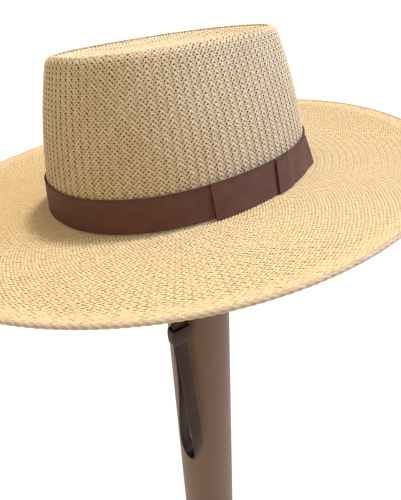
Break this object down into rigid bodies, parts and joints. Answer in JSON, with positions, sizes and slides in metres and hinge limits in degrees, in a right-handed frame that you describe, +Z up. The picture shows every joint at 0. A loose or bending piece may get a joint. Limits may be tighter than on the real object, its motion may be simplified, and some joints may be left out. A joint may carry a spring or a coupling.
{
  "type": "straw gaucho hat with chin strap on a post stand",
  "caption": "Flat-topped straw hat with a wide stiff brim, brown ribbon band and flat bow, leather chin strap with a slide, shown on a plain round post stand.",
  "frame": {"origin": "middle of the stand's foot, on the surface that it stands on", "axes": "+Z up the post, -Y the wearer's front, +X the wearer's left, where the bow is"},
  "size_m": [0.3464, 0.3798, 0.6856],
  "materials": {
    "straw": "natural woven straw, matt",
    "ribbon": "brown ribbed ribbon",
    "leather": "dark brown, soft",
    "stand": "brown lacquer, satin"
  },
  "bodies": {
    "root": {"straw_tip": "straw", "straw_side": "straw", "straw_brim": "straw", "brim_edge": "straw", "hat_band": "ribbon", "bow_fold": "ribbon", "bow_end": "ribbon", "chin_strap": "leather", "strap_slide": "leather", "stand_post": "stand", "stand_base": "stand"}
  },
  "joints": []
}
